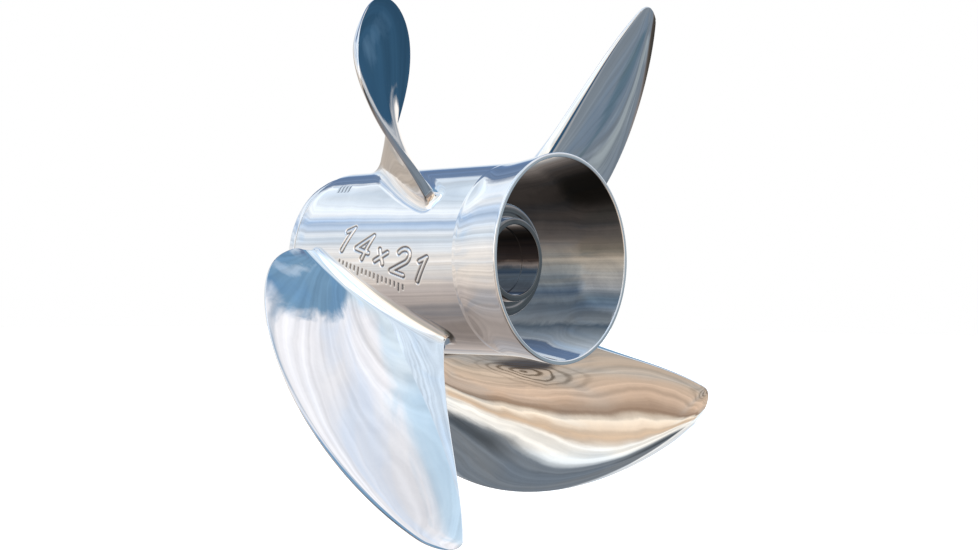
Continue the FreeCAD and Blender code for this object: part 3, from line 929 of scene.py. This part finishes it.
def make_sky():
    """Soft bands and patches of light for the metal, and plain white for the camera."""
    world = bpy.data.worlds.new("sky")
    world.use_nodes = True
    bpy.context.scene.world = world
    nodes = Nodes(world.node_tree)
    way = nodes.add("ShaderNodeTexCoord").outputs["Generated"]
    parts = nodes.add("ShaderNodeSeparateXYZ", None, Vector=way).outputs
    azimuth = nodes.math("DEGREES", nodes.math("ARCTAN2", parts["X"], parts["Y"]))
    elevation = nodes.math("DEGREES", nodes.math("ARCSINE", parts["Z"]))
    cloud = nodes.noise(nodes.stretched(way, (1.0, 1.0, 1.6)), 2.4, 4.0, 0.5, 0.6)
    puff = nodes.noise(way, 5.5, 5.0, 0.6, 0.4)
    sway = nodes.spread(cloud, 0.25, 0.75, -3.0, 3.0)
    height = nodes.math("ADD", elevation, sway)
    slant = nodes.spread(azimuth, -180.0, -130.0, 12.5, -12.5)
    level = nodes.math("ADD", height, slant)
    share = nodes.spread(height, -90.0, 90.0, 0.0, 1.0)
    slanted = nodes.spread(level, -90.0, 90.0, 0.0, 1.0)
    front, beside = (
        nodes.ramp(share, [(height_share(place), shown(*tone)) for place, tone in sky])
        for sky in (FRONT_SKY, SIDE_SKY))
    back = nodes.ramp(slanted, [(height_share(place), shown(*tone)) for place, tone in BACK_SKY])
    aside = nodes.spread(nodes.math("ABSOLUTE", nodes.math("ADD", azimuth, 82.0)), 22.0, 30.0, 1.0, 0.0)
    behind = nodes.spread(nodes.math("ABSOLUTE", nodes.math("ADD", azimuth, 150.0)), 30.0, 48.0, 1.0, 0.0)
    colour = nodes.mix(behind, nodes.mix(aside, front, beside), back)
    calm = nodes.math("SUBTRACT", 1.0, behind)
    ripple = nodes.math("MULTIPLY", calm, nodes.spread(puff, 0.25, 0.75, -7.0, 7.0))
    for place, reach, tilt, tone, weight, softness in SKY_PATCHES:
        across = nodes.math("SUBTRACT", nodes.math("ADD", azimuth, ripple), place[0])
        rise = nodes.math("SUBTRACT", height, place[1])
        away = nodes.length_squared(across, rise, reach, math.radians(tilt))
        cover = nodes.spread(away, 1.0 - softness, 1.0 + softness, weight, 0.0)
        colour = nodes.mix(cover, colour, (*shown(*tone), 1.0))
    for place, reach, tone in SKY_RINGS:
        across = nodes.math("SUBTRACT", azimuth, place[0])
        rise = nodes.math("SUBTRACT", height, place[1])
        away = nodes.math("SQRT", nodes.length_squared(across, rise, (reach, reach * 0.55), 0.0))
        ring = nodes.spread(nodes.math("SINE", nodes.math("MULTIPLY", away, 32.0)), 0.1, 0.9, 0.0, 1.0)
        cover = nodes.math("MULTIPLY", ring, nodes.spread(away, 0.4, 1.0, 0.85, 0.0))
        colour = nodes.mix(cover, colour, (*shown(*tone), 1.0))
    streak = nodes.noise(nodes.stretched(way, (0.7, 0.7, 9.0)), 1.6, 3.0, 0.5, 0.3)
    thread = nodes.noise(nodes.stretched(way, (0.5, 0.5, 44.0)), 1.3, 2.0, 0.5)
    lines = nodes.add(
        "ShaderNodeCombineXYZ", None,
        X=nodes.math("MULTIPLY", azimuth, 0.03),
        Y=nodes.math("MULTIPLY", level, 0.42))
    trace = nodes.noise(lines, 1.0, 3.0, 0.55, 0.4)
    broad = nodes.spread(streak, 0.3, 0.7, 0.82, 1.14)
    fine = nodes.spread(thread, 0.3, 0.7, 0.88, 1.1)
    streaks = nodes.math("MULTIPLY", broad, fine)
    traces = nodes.spread(trace, 0.3, 0.7, 0.72, 1.16)
    light = nodes.add("ShaderNodeMix", {"data_type": "FLOAT"})
    nodes.feed(behind, light.inputs[0])
    nodes.feed(streaks, light.inputs[2])
    nodes.feed(traces, light.inputs[3])
    tint = nodes.ramp(cloud, [
        (0.36, (0.88, 0.96, 1.05)),
        (0.5, (1.0, 1.0, 1.0)),
        (0.62, (1.06, 1.04, 1.02)),
    ])
    toned = nodes.add("ShaderNodeMix", {"data_type": "RGBA", "blend_type": "MULTIPLY"})
    nodes.feed(1.0, toned.inputs[0])
    nodes.feed(colour, toned.inputs[6])
    nodes.feed(tint, toned.inputs[7])
    sky = nodes.add("ShaderNodeBackground", None, Color=toned.outputs[2], Strength=light.outputs[0])
    plain = nodes.add("ShaderNodeBackground", None, Color=(1.0, 1.0, 1.0, 1.0), Strength=1.0)
    seen = nodes.add("ShaderNodeLightPath").outputs["Is Camera Ray"]
    both = nodes.add("ShaderNodeMixShader", None, i0=seen, i1=sky.outputs[0], i2=plain.outputs[0])
    nodes.add("ShaderNodeOutputWorld", None, Surface=both.outputs[0])


def make_lamp(name, place, size, power, colour):
    data = bpy.data.lights.new(name, "AREA")
    data.shape = "DISK"
    data.size = size
    data.energy = power
    data.color = colour
    lamp = bpy.data.objects.new(name, data)
    lamp.location = place
    towards_rim = Vector((0, RIM_PLACE * MM, 0)) - Vector(place)
    lamp.rotation_euler = towards_rim.to_track_quat("-Z", "Y").to_euler()
    lamp.visible_glossy = False
    bpy.context.scene.collection.objects.link(lamp)


make_floor()
make_sky()
make_lamp("key", (-1.2, -1.0, 1.6), 1.2, 16.0, (1.0, 0.98, 0.95))
make_lamp("fill", (1.4, -0.6, 1.2), 1.6, 8.0, (0.95, 0.98, 1.0))
bpy.context.scene.view_settings.view_transform = "Standard"
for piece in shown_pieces():
    piece.visible_glossy = False
